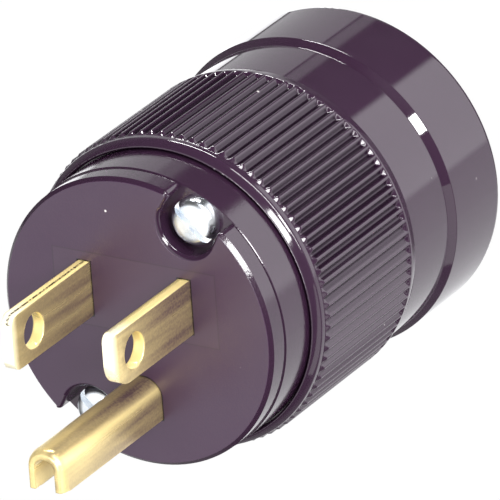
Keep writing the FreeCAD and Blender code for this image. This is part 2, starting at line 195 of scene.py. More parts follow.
# %% [markdown]
# The face has marks from its mould: a thin line round the plain insert that holds the blades, and a paler
# skin inside that line. The gap round the metal where it comes through is painted near black, a painted
# shade. Each is drawn from the distance to a rectangle in Object coordinates, so the marks stay crisp at any
# distance. The matte skin is on the flat face alone: below its edge the walls are polished.

# %% Face plastic
def part_way(tree, value, low, high, to_low=0.0, to_high=1.0):
    """Map a value from low..high to to_low..to_high, held at both ends."""
    node = add(tree, "ShaderNodeMapRange", clamp=True)
    node.inputs["From Min"].default_value = low
    node.inputs["From Max"].default_value = high
    node.inputs["To Min"].default_value = to_low
    node.inputs["To Max"].default_value = to_high
    tree.links.new(value, node.inputs["Value"])
    return node.outputs["Result"]


def sums(tree, operation, first, second=None):
    """One math node; its inputs are sockets or numbers."""
    node = add(tree, "ShaderNodeMath", operation=operation)
    for place, value in zip(node.inputs, (first, second)):
        if isinstance(value, (int, float)):
            place.default_value = value
        elif value is not None:
            tree.links.new(value, place)
    return node.outputs["Value"]


def from_box(tree, x, y, half_x, middle_y, half_y):
    """Distance (m) outside a rectangle on the face; below zero inside it."""
    over_x = sums(tree, "SUBTRACT", x, half_x * MM)
    over_y = sums(tree, "SUBTRACT", sums(tree, "ABSOLUTE", sums(tree, "SUBTRACT", y, middle_y * MM)), half_y * MM)
    return sums(tree, "MAXIMUM", over_x, over_y)


def mixed(tree, factor, first, second):
    """Colour mix; the second colour is a plain tuple."""
    node = add(tree, "ShaderNodeMix", data_type="RGBA")
    node.inputs["B"].default_value = second
    tree.links.new(factor, node.inputs["Factor"])
    tree.links.new(first, node.inputs["A"])
    return node.outputs["Result"]


face_black, face_tree, face_shader, face_skin = moulded("face_black", (0.032, 0.0105, 0.034), 0.34, 0.4, 0.8, 0.5)
face_at = add(face_tree, "ShaderNodeSeparateXYZ")
face_tree.links.new(add(face_tree, "ShaderNodeTexCoord").outputs["Object"], face_at.inputs["Vector"])
side_x = sums(face_tree, "ABSOLUTE", face_at.outputs["X"])
face_y = face_at.outputs["Y"]
blade_x = sums(face_tree, "ABSOLUTE", sums(face_tree, "SUBTRACT", side_x, 6.35 * MM))
near_blade = from_box(face_tree, blade_x, face_y, 0.76, 3.06, 3.175)
past_x = sums(face_tree, "MAXIMUM", sums(face_tree, "SUBTRACT", side_x, 0.175 * MM), 0.0)
past_y = sums(face_tree, "MAXIMUM", sums(face_tree, "SUBTRACT", face_y, -8.655 * MM), 0.0)
arch = sums(face_tree, "SQRT", sums(face_tree, "ADD", sums(face_tree, "POWER", past_x, 2.0), sums(face_tree, "POWER", past_y, 2.0)))
foot = sums(face_tree, "SUBTRACT", -11.205 * MM, face_y)
near_pin = sums(face_tree, "MAXIMUM", sums(face_tree, "SUBTRACT", arch, 2.2 * MM), foot)
near_metal = sums(face_tree, "MINIMUM", near_blade, near_pin)
from_insert = from_box(face_tree, side_x, face_y, 10.3, 3.03, 4.38)
flat = part_way(face_tree, face_at.outputs["Z"], 47.33 * MM, 47.39 * MM)
inside = part_way(face_tree, from_insert, 0.05 * MM, -0.05 * MM)
line = part_way(face_tree, sums(face_tree, "ABSOLUTE", from_insert), 0.1 * MM, 0.04 * MM)
# Painted shade: the face is painted near black within a fifth of a millimetre of the blades and the pin.
slot_painted_shade = part_way(face_tree, near_metal, 0.2 * MM, 0.13 * MM)
colour = mixed(face_tree, sums(face_tree, "MULTIPLY", inside, 0.08), face_skin.outputs["Color"], (0.12, 0.09, 0.1, 1))
colour = mixed(face_tree, sums(face_tree, "MULTIPLY", line, 0.45), colour, (0.012, 0.006, 0.012, 1))
colour = mixed(face_tree, slot_painted_shade, colour, (0.002, 0.001, 0.002, 1))
colour = mixed(face_tree, part_way(face_tree, flat, 0.0, 1.0, 1.0, 0.0), colour, (0.023, 0.0095, 0.0225, 1))
face_tree.links.new(colour, face_shader.inputs["Base Color"])
polish = part_way(face_tree, flat, 0.0, 1.0, 0.3, 1.0)
face_tree.links.new(sums(face_tree, "MULTIPLY", face_skin.outputs["Roughness"], polish), face_shader.inputs["Roughness"])
grip_at = add(grip_tree, "ShaderNodeSeparateXYZ")
grip_tree.links.new(add(grip_tree, "ShaderNodeTexCoord").outputs["Object"], grip_at.inputs["Vector"])
grip_x2 = sums(grip_tree, "POWER", grip_at.outputs["X"], 2.0)
grip_y2 = sums(grip_tree, "POWER", grip_at.outputs["Y"], 2.0)
grip_radius = sums(grip_tree, "SQRT", sums(grip_tree, "ADD", grip_x2, grip_y2))
# Painted shade in the grip's grooves: a darker base colour, more roughness and half metallic dim them, less so
# towards -Y, and not on the rear slope or the front ramp.
between = part_way(grip_tree, grip_at.outputs["Z"], 37.8 * MM, 37.7 * MM)
groove_painted_shade = sums(grip_tree, "MULTIPLY", part_way(grip_tree, grip_radius, 18.62 * MM, 18.46 * MM), between)
groove_shade_by_y = part_way(grip_tree, grip_at.outputs["Y"], -4 * MM, 6 * MM, 0.15, 1.0)
groove_painted_shade = sums(grip_tree, "MULTIPLY", groove_painted_shade, groove_shade_by_y)
off_end = part_way(grip_tree, grip_at.outputs["Z"], 20.62 * MM, 20.74 * MM)
groove_painted_shade = sums(grip_tree, "MULTIPLY", groove_painted_shade, off_end)
grip_colour = mixed(grip_tree, groove_painted_shade, grip_skin.outputs["Color"], (0.014, 0.0035, 0.0145, 1))
grip_tree.links.new(grip_colour, grip_shader.inputs["Base Color"])
grip_rough = sums(grip_tree, "ADD", grip_skin.outputs["Roughness"], sums(grip_tree, "MULTIPLY", groove_painted_shade, 0.12))
grip_tree.links.new(grip_rough, grip_shader.inputs["Roughness"])
grip_tree.links.new(sums(grip_tree, "MULTIPLY", groove_painted_shade, 0.5), grip_shader.inputs["Metallic"])
print("face plastic:", len(face_tree.nodes), "nodes, grip plastic:", len(grip_tree.nodes), "nodes")

# %% [markdown]
# Rolled brass strip has fine lines along its length, patches of tarnish, and colour that drifts between
# yellow and olive. A stretched noise makes the rolling lines and a fine one the tarnish. The tarnish is held
# to the flat sides of the blades, and their narrow edges are painted bright, a painted highlight. On the bent
# pin a ramp over the pin's width paints bands along the length: painted shade over part of it and a painted
# highlight line near its +X side. The blades are duller near the face. Near the tip their narrow edges and
# ends are painted near white, a painted highlight, and the seam of the left blade is painted dark, a painted
# shade.

# %% Metals
def banded(tree, value, stops):
    """A grey ramp over a value from 0 to 1, with stops of (place, level)."""
    node = add(tree, "ShaderNodeValToRGB")
    bands = node.color_ramp
    while len(bands.elements) < len(stops):
        bands.elements.new(0.5)
    for element, (place, level) in zip(bands.elements, stops):
        element.position = place
        element.color = (level, level, level, 1)
    tree.links.new(value, node.inputs["Fac"])
    return node.outputs["Color"]


# Painted shade and highlight across the pin's width, as bands along its length: duller over part of it, a bright line
# near its +X side.
PIN_PAINTED_LIGHT_BANDS = ((0, 0.6), (0.3, 0.65), (0.42, 0.75), (0.56, 0.9), (0.64, 1.2), (0.8, 1.15), (0.87, 0.75),
             (0.93, 0.3), (0.965, 0.4), (1.0, 0.95))


def brass_dullness_and_painted_light(tree, patchy, streaks):
    """How dull the brass is, from 0 to 1, with painted highlights on the blade edges and painted bands on the pin;
    also the masks of the painted seam shade and the painted tip highlight.
    """
    spot = add(tree, "ShaderNodeSeparateXYZ")
    tree.links.new(add(tree, "ShaderNodeTexCoord").outputs["Object"], spot.inputs["Vector"])
    side_x = sums(tree, "ABSOLUTE", spot.outputs["X"])
    off_axis = sums(tree, "ABSOLUTE", sums(tree, "SUBTRACT", side_x, 6.35 * MM))
    # Painted highlight: the narrow edges of the blades stay bright; only the flat sides go dull.
    dull_flats_lit_edges = part_way(tree, off_axis, 0.62 * MM, 0.74 * MM, 0.03, 1.0)
    pin_painted_bands = banded(tree, part_way(tree, spot.outputs["X"], -2.375 * MM, 2.375 * MM), PIN_PAINTED_LIGHT_BANDS)
    is_pin = sums(tree, "LESS_THAN", side_x, 4 * MM)
    place = add(tree, "ShaderNodeMix", data_type="FLOAT")
    tree.links.new(is_pin, place.inputs["Factor"])
    tree.links.new(dull_flats_lit_edges, place.inputs["A"])
    tree.links.new(pin_painted_bands, place.inputs["B"])
    # Duller near the face, half as dull at the tip.
    duller_near_face = part_way(tree, spot.outputs["Z"], 52 * MM, 64 * MM, 1.0, 0.5)
    uneven = sums(tree, "ADD", part_way(tree, patchy, 0.0, 1.0, 0.5, 0.66),
                  part_way(tree, streaks, 0.35, 0.65, 0.0, 0.34))
    dull = sums(tree, "MULTIPLY", sums(tree, "MULTIPLY", place.outputs["Result"], duller_near_face), uneven)
    # Painted shade: a dark line along the seam of the left blade, its strength varying with the patches.
    in_seam = sums(tree, "LESS_THAN", off_axis, 0.13 * MM)
    past_fold = sums(tree, "GREATER_THAN", spot.outputs["Y"], 5.3 * MM)
    left = sums(tree, "LESS_THAN", spot.outputs["X"], 0.0)
    seam = sums(tree, "MULTIPLY", sums(tree, "MULTIPLY", in_seam, past_fold), left)
    # Painted highlight: the narrow edges near the tip, and its end, are painted near white.
    tip_highlight_mask = sums(tree, "MULTIPLY", part_way(tree, off_axis, 0.74 * MM, 0.6 * MM),
                    part_way(tree, spot.outputs["Z"], 58.5 * MM, 62.5 * MM))
    return dull, sums(tree, "MULTIPLY", seam, part_way(tree, patchy, 0.2, 0.5, 0.35, 1.0)), tip_highlight_mask


def rolled_metal(name, bright, dull, roughness, stretch, bump, metallic=1.0, patch_scale=700):
    """Sheet or wire metal; returns its material, tree, shader, colour mix, patches and lines."""
    material, tree, shader = new_material(name)
    place = add(tree, "ShaderNodeTexCoord")
    squeeze = add(tree, "ShaderNodeMapping")
    squeeze.inputs["Scale"].default_value = stretch
    lines = add(tree, "ShaderNodeTexNoise")
    lines.inputs["Scale"].default_value = 900
    lines.inputs["Detail"].default_value = 5
    patches = add(tree, "ShaderNodeTexNoise")
    patches.inputs["Scale"].default_value = patch_scale
    patches.inputs["Detail"].default_value = 6
    colour = add(tree, "ShaderNodeMix", data_type="RGBA")
    colour.inputs["A"].default_value = (*bright, 1)
    colour.inputs["B"].default_value = (*dull, 1)
    patchy = part_way(tree, patches.outputs["Fac"], 0.35, 0.7)
    gloss = add(tree, "ShaderNodeMath", operation="MULTIPLY_ADD")
    gloss.inputs[1].default_value = 0.2
    gloss.inputs[2].default_value = roughness
    relief = add(tree, "ShaderNodeBump")
    relief.inputs["Strength"].default_value = bump
    relief.inputs["Distance"].default_value = 0.00002
    links = tree.links
    links.new(place.outputs["Object"], squeeze.inputs["Vector"])
    links.new(squeeze.outputs["Vector"], lines.inputs["Vector"])
    links.new(place.outputs["Object"], patches.inputs["Vector"])
    links.new(patchy, colour.inputs["Factor"])
    links.new(colour.outputs["Result"], shader.inputs["Base Color"])
    links.new(lines.outputs["Fac"], gloss.inputs[0])
    links.new(gloss.outputs["Value"], shader.inputs["Roughness"])
    links.new(lines.outputs["Fac"], relief.inputs["Height"])
    links.new(relief.outputs["Normal"], shader.inputs["Normal"])
    shader.inputs["Metallic"].default_value = metallic
    return material, tree, shader, colour, patchy, lines.outputs["Fac"]


blade_brass, brass_tree, brass_shader, brass_mix, brass_patches, brass_lines = rolled_metal(
    "blade_brass", (0.96, 0.77, 0.33), (0.16, 0.098, 0.1), 0.2, (1, 1, 0.06), 0.3, 0.6, 3400)
dullness_and_painted_light, seam_painted_shade, tip_painted_highlight = brass_dullness_and_painted_light(brass_tree, brass_patches, brass_lines)
brass_tree.links.new(dullness_and_painted_light, brass_mix.inputs["Factor"])
# Painted highlight: near-white colour on the narrow edges near the tip.
brass = mixed(brass_tree, tip_painted_highlight, brass_mix.outputs["Result"], (1.0, 0.93, 0.7, 1))
# Painted shade: the seam of the left blade is painted dark.
brass = mixed(brass_tree, seam_painted_shade, brass, (0.03, 0.02, 0.012, 1))
brass_tree.links.new(brass, brass_shader.inputs["Base Color"])
metal_share = part_way(brass_tree, dullness_and_painted_light, 0.05, 0.5, 0.35, 0.65)
brass_tree.links.new(metal_share, brass_shader.inputs["Metallic"])
turned_brass = rolled_metal("turned_brass", (0.76, 0.57, 0.25), (0.6, 0.44, 0.18), 0.25, (1, 1, 1), 0.2)[0]
nickel_plate = rolled_metal("nickel_plate", (0.74, 0.72, 0.68), (0.6, 0.58, 0.54), 0.18, (1, 1, 1), 0.15)[0]
zinc_plate = rolled_metal("zinc_plate", (0.93, 0.95, 0.97), (0.68, 0.74, 0.82), 0.2, (1, 1, 1), 0.3)[0]
green_dye = rolled_metal("green_dye", (0.08, 0.36, 0.13), (0.05, 0.24, 0.08), 0.3, (1, 1, 1), 0.2)[0]
print("metals:", blade_brass.name, turned_brass.name, nickel_plate.name, zinc_plate.name, green_dye.name)

# %% [markdown]
# Every CAD node gets its finish by name. The inside pieces are finished too, although they only show when
# the plug is taken apart.

# %% Finishes for the CAD nodes
finish_of = {
    "face_block": face_black,
    "ribbed_body": grip_black,
    "rear_housing": shell_black,
    "terminal_block": carrier_grey,
    "cord_clamp_bar": carrier_grey,
    "line_blade": blade_brass,
    "neutral_blade": blade_brass,
    "ground_pin": blade_brass,
    "line_clamp_plate": turned_brass,
    "neutral_clamp_plate": nickel_plate,
    "ground_clamp_plate": turned_brass,
    "line_terminal_screw": turned_brass,
    "neutral_terminal_screw": nickel_plate,
    "ground_terminal_screw": green_dye,
    "cord_clamp_screws": zinc_plate,
    "assembly_screws": zinc_plate,
    "thread_inserts": turned_brass,
}
for node_name, material in finish_of.items():
    for place in nodes[node_name].material_slots:
        place.material = material
print("finished", len(finish_of), "nodes")

# %% [markdown]
# Metal parts of a plug are stamped, folded and headed, so every edge is a little round and catches a line of
# light. The solids have sharp edges there, and the next cells remodel those pieces with finer edges. Each is
# built in millimetres with bmesh operators; this helper scales it to metres, smooths it and sets it to ride
# on the plug in place of the solid it stands for.

# %% Finishing helper
def finish_piece(builder, name, material, stands_for):
    bmesh.ops.remove_doubles(builder, verts=builder.verts, dist=1e-4)
    bmesh.ops.recalc_face_normals(builder, faces=builder.faces)
    bmesh.ops.scale(builder, verts=builder.verts, vec=(MM, MM, MM))
    mesh = bpy.data.meshes.new(name)
    builder.to_mesh(mesh)
    builder.free()
    mesh.materials.append(material)
    mesh.shade_smooth()
    mesh.set_sharp_from_angle(angle=math.radians(50))
    piece = bpy.data.objects.new(name, mesh)
    even = piece.modifiers.new("flat_faces_stay_flat", "WEIGHTED_NORMAL")
    even.keep_sharp = True
    bpy.context.scene.collection.objects.link(piece)
    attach(piece, "root")
    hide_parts(stands_for)
    print(name, len(mesh.polygons), "faces")
    return piece


Z_FACE = 47.4
Z_BLOCK = 35.9

# %% [markdown]
# A flat strip with a hole is the start of each blade and of its terminal tab. A square grid face is scaled to
# the strip, two of its corners are rounded by a vertex bevel, a circle is added for the hole, and the area
# between the two outlines is filled. Extruding that face gives the thickness. A boolean would make the hole
# too, but filling between two outlines leaves clean edges to bevel.

# %% Strip with a hole
def holed_strip(wide, low, high, thick, hole_radius, hole_z, low_corner, high_corner):
    """Strip in the YZ plane, centred on x = 0 and y = 0, with its top corners rounded (-Y, +Y)."""
    builder = bmesh.new()
    bmesh.ops.create_grid(builder, x_segments=1, y_segments=1, size=0.5)
    bmesh.ops.scale(builder, verts=builder.verts, vec=(wide, high - low, 1))
    bmesh.ops.translate(builder, verts=builder.verts, vec=(0, (high + low) / 2, 0))
    upright = Matrix(((0, 0, 1), (1, 0, 0), (0, 1, 0))).to_4x4()
    bmesh.ops.transform(builder, matrix=upright, verts=builder.verts)
    for side, radius in ((-1, low_corner), (1, high_corner)):
        corner = [v for v in builder.verts if v.co.z > high - 1e-4 and side * v.co.y > wide / 2 - 1e-4]
        bmesh.ops.bevel(builder, geom=corner, offset=radius, offset_type="OFFSET", segments=16, profile=0.5,
                        affect="VERTICES", material=-1)
    ring = Matrix.Translation((0, 0, hole_z)) @ Matrix.Rotation(math.pi / 2, 4, "Y")
    bmesh.ops.create_circle(builder, segments=40, radius=hole_radius, matrix=ring)
    bmesh.ops.delete(builder, geom=builder.faces[:], context="FACES_ONLY")
    bmesh.ops.triangle_fill(builder, use_beauty=True, edges=builder.edges[:], normal=(1, 0, 0))
    skin_faces = bmesh.ops.extrude_face_region(builder, geom=builder.faces[:])["geom"]
    far = [v for v in skin_faces if isinstance(v, bmesh.types.BMVert)]
    bmesh.ops.translate(builder, verts=far, vec=(thick, 0, 0))
    bmesh.ops.translate(builder, verts=builder.verts, vec=(-thick / 2, 0, 0))
    bmesh.ops.recalc_face_normals(builder, faces=builder.faces)
    return builder


def sharp_edges(builder, test):
    """Edges with a corner of more than 40 degrees whose two ends pass the test."""
    found = []
    for edge in builder.edges:
        if len(edge.link_faces) == 2 and edge.calc_face_angle() > math.radians(40):
            if all(test(v.co) for v in edge.verts):
                found.append(edge)
    return found


def round_off(builder, edges, offset, segments):
    bmesh.ops.bevel(builder, geom=edges, offset=offset, offset_type="OFFSET", segments=segments, profile=0.5,
                    affect="EDGES", clamp_overlap=True, material=-1)


print("strip helpers ready")

# %% [markdown]
# Each blade is brass strip folded on itself. The fold is a round edge, and the opposite edge shows the seam
# between the two leaves, which runs on round the tip. The tip is thinned by a long bevel so it finds its
# slot. Bisecting the strip at the seam and pushing the narrow middle faces in makes the seam; the tip is
# cut across at the start of its bevel and its end squeezed thinner.

# %% Blades
BLADE_WIDE, BLADE_THICK, BLADE_TIP = 6.35, 1.52, Z_FACE + 15.9
HOLE_Z, HOLE_R = Z_FACE + 11.7, 1.98
BLADE_X, BLADE_Y = 6.35, 3.06
SEAM = 0.11


def folded_blade(seam_corner, fold_corner, seam_turn):
    """A blade round its own axis: thickness on X, fold at +Y, seam at -Y as far as its edge turns."""
    half = BLADE_WIDE / 2
    builder = holed_strip(BLADE_WIDE, Z_BLOCK - BLADE_THICK, BLADE_TIP, BLADE_THICK, HOLE_R, HOLE_Z,
                          seam_corner, fold_corner)
    bevel_start = BLADE_TIP - 1.2
    everything = builder.verts[:] + builder.edges[:] + builder.faces[:]
    bmesh.ops.bisect_plane(builder, geom=everything, plane_co=(0, 0, bevel_start), plane_no=(0, 0, 1),
                           dist=1e-4)
    for v in builder.verts:
        if v.co.z > bevel_start:
            v.co.x *= 1 - 0.16 * (v.co.z - bevel_start) / (BLADE_TIP - bevel_start)
    for x in (-SEAM, SEAM):
        everything = builder.verts[:] + builder.edges[:] + builder.faces[:]
        bmesh.ops.bisect_plane(builder, geom=everything, plane_co=(x, 0, 0), plane_no=(1, 0, 0), dist=1e-4)
    builder.normal_update()
    middle = []
    for face in builder.faces:
        centre = face.calc_center_median()
        from_hole = math.hypot(centre.y, centre.z - HOLE_Z)
        on_seam = abs(centre.x) < SEAM and face.normal.y < -seam_turn and centre.z > Z_FACE - 3
        if on_seam and from_hole > HOLE_R + 0.3:
            middle.append(face)
    outward = {tuple(round(c, 3) for c in v.co): v.normal.copy() for f in middle for v in f.verts}
    pushed = bmesh.ops.extrude_face_region(builder, geom=middle)["geom"]
    for v in pushed:
        if isinstance(v, bmesh.types.BMVert):
            deep = 0.3 + 0.5 * min(1.0, max(0.0, (BLADE_TIP - 1.5 - v.co.z) / 3))
            v.co -= outward[tuple(round(c, 3) for c in v.co)] * deep
    builder.normal_update()
    round_off(builder, sharp_edges(builder, lambda c: c.y > half - 0.02 and c.z > Z_BLOCK), 0.5, 5)
    hole = sharp_edges(builder, lambda c: abs(math.hypot(c.y, c.z - HOLE_Z) - HOLE_R) < 0.02)
    round_off(builder, hole, 0.2, 3)
    round_off(builder, sharp_edges(builder, lambda c: abs(c.x) > 0.4 and c.y < half - 0.3 and c.z > Z_BLOCK + 1),
              0.16, 2)
    return builder


def terminal_tab(width, reach, thick, screw_x):
    """Flat tab from the blade's foot towards +X, with its screw hole."""
    builder = holed_strip(width, -BLADE_THICK / 2, reach, thick, 1.9, screw_x, 0.5, 0.5)
    lie_down = Matrix.Rotation(math.pi / 2, 4, "Y")
    bmesh.ops.transform(builder, matrix=lie_down, verts=builder.verts)
    bmesh.ops.translate(builder, verts=builder.verts, vec=(0, 0, Z_BLOCK - thick / 2))
    round_off(builder, sharp_edges(builder, lambda c: True), 0.1, 2)
    return builder


def joined(first, second):
    helper = bpy.data.meshes.new("joining")
    second.to_mesh(helper)
    second.free()
    first.from_mesh(helper)
    bpy.data.meshes.remove(helper)
    return first


TAB_REACH, TAB_SCREW = 12.69 - BLADE_X, 10.19 - BLADE_X
neutral = joined(folded_blade(2.9, 0.9, 0.95), terminal_tab(6.0, TAB_REACH, BLADE_THICK, TAB_SCREW))
bmesh.ops.translate(neutral, verts=neutral.verts, vec=(BLADE_X, BLADE_Y, 0))
finish_piece(neutral, "neutral_blade_folded", blade_brass, "neutral_blade")
line = joined(folded_blade(1.2, 1.0, 0.25), terminal_tab(6.0, TAB_REACH, BLADE_THICK, TAB_SCREW))
bmesh.ops.rotate(line, verts=line.verts, cent=(0, 0, 0), matrix=Matrix.Rotation(math.pi, 3, "Z"))
bmesh.ops.translate(line, verts=line.verts, vec=(-BLADE_X, BLADE_Y, 0))
finish_piece(line, "line_blade_folded", blade_brass, "line_blade")

# %% [markdown]
# The ground pin is a strip bent into a channel, open away from the blades. Its outer line is drawn as one
# vertex that is extruded up one side, spun round the first shoulder, extruded across the back and spun
# again. That line is extruded along the pin and solidified inwards to the strip's thickness. The tip is cut
# across twice and drawn in, so that it ends in a rounded nose.

# %% Ground pin
PIN_Y, PIN_WIDE, PIN_WALL, PIN_TIP = BLADE_Y - 11.89, 4.75, 1.15, Z_FACE + 20.4
PIN_HALF, PIN_TURN = PIN_WIDE / 2, 2.2
PIN_FOOT, PIN_SHOULDER = PIN_Y - PIN_HALF, PIN_Y + PIN_HALF - PIN_TURN
PIN_LOW = Z_BLOCK - PIN_WALL


def bent_channel():
    builder = bmesh.new()
    pen = builder.verts.new((PIN_HALF, PIN_FOOT, PIN_LOW))
    strokes = (
        ("run", PIN_HALF, PIN_SHOULDER), ("turn", PIN_HALF - PIN_TURN, PIN_SHOULDER),
        ("run", PIN_TURN - PIN_HALF, PIN_SHOULDER + PIN_TURN), ("turn", PIN_TURN - PIN_HALF, PIN_SHOULDER),
        ("run", -PIN_HALF, PIN_FOOT),
    )
    for kind, x, y in strokes:
        if kind == "run":
            pen = bmesh.ops.extrude_vert_indiv(builder, verts=[pen])["verts"][0]
            pen.co = (x, y, PIN_LOW)
        else:
            arc = bmesh.ops.spin(builder, geom=[pen], cent=(x, y, PIN_LOW), axis=(0, 0, 1),
                                 angle=math.pi / 2, steps=12)
            pen = arc["geom_last"][0]
    sheet = bmesh.ops.extrude_edge_only(builder, edges=builder.edges[:])["geom"]
    raised = [v for v in sheet if isinstance(v, bmesh.types.BMVert)]
    bmesh.ops.translate(builder, verts=raised, vec=(0, 0, PIN_TIP - PIN_LOW))
    bmesh.ops.remove_doubles(builder, verts=builder.verts, dist=1e-4)
    bmesh.ops.recalc_face_normals(builder, faces=builder.faces)
    back = max(builder.faces, key=lambda f: f.calc_center_median().y)
    if back.normal.y < 0:
        bmesh.ops.reverse_faces(builder, faces=builder.faces)
    bmesh.ops.solidify(builder, geom=builder.faces[:], thickness=PIN_WALL)
    bmesh.ops.recalc_face_normals(builder, faces=builder.faces)
    return builder


pin = bent_channel()
nose = ((PIN_TIP - 1.1, 0.0), (PIN_TIP - 0.45, 0.16), (PIN_TIP, 0.45))
for level, draw_in in nose[:-1]:
    everything = pin.verts[:] + pin.edges[:] + pin.faces[:]
    bmesh.ops.bisect_plane(pin, geom=everything, plane_co=(0, 0, level), plane_no=(0, 0, 1), dist=1e-4)
for v in pin.verts:
    for level, draw_in in nose[1:]:
        if abs(v.co.z - level) < 1e-3:
            across = math.hypot(v.co.x, max(0.0, v.co.y - PIN_SHOULDER))
            outer = across > PIN_HALF - PIN_WALL * 0.4 or v.co.y > PIN_Y + PIN_HALF - PIN_WALL * 0.5
            if outer:
                v.co.x *= 1 - draw_in / PIN_HALF
                v.co.y -= draw_in * max(0.0, v.co.y - PIN_Y) / PIN_HALF
pin.normal_update()
round_off(pin, sharp_edges(pin, lambda c: c.z > Z_FACE - 2), 0.12, 2)
pin_tab = terminal_tab(5.2, 9.375, PIN_WALL, 6.775)
bmesh.ops.translate(pin_tab, verts=pin_tab.verts, vec=(0, PIN_Y - 0.15, 0))
finish_piece(joined(pin, pin_tab), "ground_pin_bent", blade_brass, "ground_pin")

# %% [markdown]
# The two screws that hold the plug together have domed pan heads with a sawn slot. The head is a profile spun
# round, bisected along both sides of the slot and at its floor. The faces between are deleted, and the open
# outline is filled again with two walls and a floor.

# %% Assembly screws
SCREW_CIRCLE, SCREW_ANGLE, Z_LEDGE = 14.3, 60.5, 44.7
HEAD_R, HEAD_TALL, SHANK_R, SHANK_LOW = 2.75, 1.7, 1.45, 11.2
SLOT_WIDE, SLOT_DEEP = 0.8, 0.8


def pan_screw():
    """One screw on the Z axis, with its slot along X and its head seated at z = 0."""
    builder = bmesh.new()
    outline = [(0, SHANK_LOW - Z_LEDGE), (SHANK_R, SHANK_LOW - Z_LEDGE), (SHANK_R, 0), (HEAD_R, 0),
               (HEAD_R, 0.55)]
    pen = [builder.verts.new((r, 0, z)) for r, z in outline]
    dome = 1.25
    for first, second in zip(pen, pen[1:]):
        builder.edges.new((first, second))
    arc = bmesh.ops.spin(builder, geom=[pen[-1]], cent=(HEAD_R - dome, 0, 0.55), axis=(0, -1, 0),
                         angle=math.radians(64), steps=6)
    shoulder = arc["geom_last"][0]
    crown = bmesh.ops.extrude_vert_indiv(builder, verts=[shoulder])["verts"][0]
    crown.co = (0, 0, HEAD_TALL)
    bmesh.ops.subdivide_edges(builder, edges=[e for e in crown.link_edges], cuts=3)
    bmesh.ops.spin(builder, geom=builder.verts[:] + builder.edges[:], cent=(0, 0, 0), axis=(0, 0, 1),
                   angle=2 * math.pi, steps=48, use_merge=True)
    bmesh.ops.remove_doubles(builder, verts=builder.verts, dist=1e-4)
    bmesh.ops.recalc_face_normals(builder, faces=builder.faces)
    slot_floor = HEAD_TALL - SLOT_DEEP
    for co, no in (((0, SLOT_WIDE / 2, 0), (0, 1, 0)), ((0, -SLOT_WIDE / 2, 0), (0, 1, 0)),
                   ((0, 0, slot_floor), (0, 0, 1))):
        everything = builder.verts[:] + builder.edges[:] + builder.faces[:]
        bmesh.ops.bisect_plane(builder, geom=everything, plane_co=co, plane_no=no, dist=1e-4)
    inside = []
    for face in builder.faces:
        centre = face.calc_center_median()
        if abs(centre.y) < SLOT_WIDE / 2 - 1e-3 and centre.z > slot_floor + 1e-3:
            inside.append(face)
    bmesh.ops.delete(builder, geom=inside, context="FACES")
    rim = [e for e in builder.edges if e.is_boundary]
    ends = {}
    for edge in rim:
        for v in edge.verts:
            if abs(v.co.z - slot_floor) < 1e-3 and abs(abs(v.co.y) - SLOT_WIDE / 2) < 1e-3:
                ends[(v.co.x > 0, v.co.y > 0)] = v
    for y in (True, False):
        rim.append(builder.edges.new((ends[(True, y)], ends[(False, y)])))
    bmesh.ops.edgenet_fill(builder, edges=rim)
    bmesh.ops.recalc_face_normals(builder, faces=builder.faces)
    return builder


screws = bmesh.new()
for around in (0, 180):
    one = pan_screw()
    a = math.radians(SCREW_ANGLE + around)
    place = Matrix.Translation((SCREW_CIRCLE * math.cos(a), SCREW_CIRCLE * math.sin(a), Z_LEDGE))
    bmesh.ops.transform(one, matrix=place @ Matrix.Rotation(math.radians(SCREW_ANGLE + 75), 4, "Z"),
                        verts=one.verts)
    joined(screws, one)
finish_piece(screws, "assembly_screws_slotted", zinc_plate, "assembly_screws")

# %% [markdown]
# The fluted sleeve is the part the hand grips. On the real plug each flute is a groove that ends in a flat
# slope at the rear, and the ridges between run out on a short ramp at the front. One flute is a small grid
# whose vertices are set to the groove's height; spinning copies of it closes the ring. The lip at the front
# and the rim at the back are then drawn on from the ring's open edges, one station at a time.

# %% Grip sleeve
RIBS, CREST_R, LAND_R, GROOVE_R = 88, 18.65, 18.3, 18.215
Z_RIBS_REAR, Z_RIBS_FRONT, RAMP_LONG = 20.2, 38.35, 0.6
REAR_LONG, FRONT_END = 0.48, Z_RIBS_FRONT - 0.3
FLUTE = ((0, 0), (0.1, 0.03), (0.2, 0.11), (0.42, 0.31), (0.5, 0.375), (0.58, 0.42), (0.6658, 0.435))


def flute_height(away):
    """Height of a groove's wall over its floor, at a distance (mm) from the groove's middle line."""
    for (near, low), (far, high) in zip(FLUTE, FLUTE[1:]):
        if away <= far:
            return low + (high - low) * (away - near) / (far - near)
    return FLUTE[-1][1]


def one_flute():
    half = math.pi * CREST_R / RIBS
    side = [away for away, height in FLUTE[1:-1]] + [half]
    columns = [-s for s in reversed(side)] + [0.0] + side
    rows = [Z_RIBS_REAR + REAR_LONG * r for r in (0, 0.25, 0.5, 0.75, 1)]
    rows += [Z_RIBS_FRONT - r for r in (RAMP_LONG + 0.03, RAMP_LONG - 0.03, 0.43, 0.3, 0.22, 0.14, 0.05, 0.0)]
    builder = bmesh.new()
    bmesh.ops.create_grid(builder, x_segments=len(columns) - 1, y_segments=len(rows) - 1, size=0.5)
    for v in builder.verts:
        across = columns[round((v.co.x + 0.5) * (len(columns) - 1))]
        z = rows[round((v.co.y + 0.5) * (len(rows) - 1))]
        groove = GROOVE_R + flute_height(math.hypot(across, max(0.0, z - FRONT_END)))
        slope = CREST_R - (CREST_R - GROOVE_R) * (z - Z_RIBS_REAR) / REAR_LONG
        ramp = LAND_R + (CREST_R - LAND_R) * min(1.0, (Z_RIBS_FRONT - z) / RAMP_LONG)
        radius = min(max(groove, slope), ramp)
        angle = across / CREST_R + math.pi / RIBS
        v.co = (radius * math.cos(angle), radius * math.sin(angle), z)
    return builder


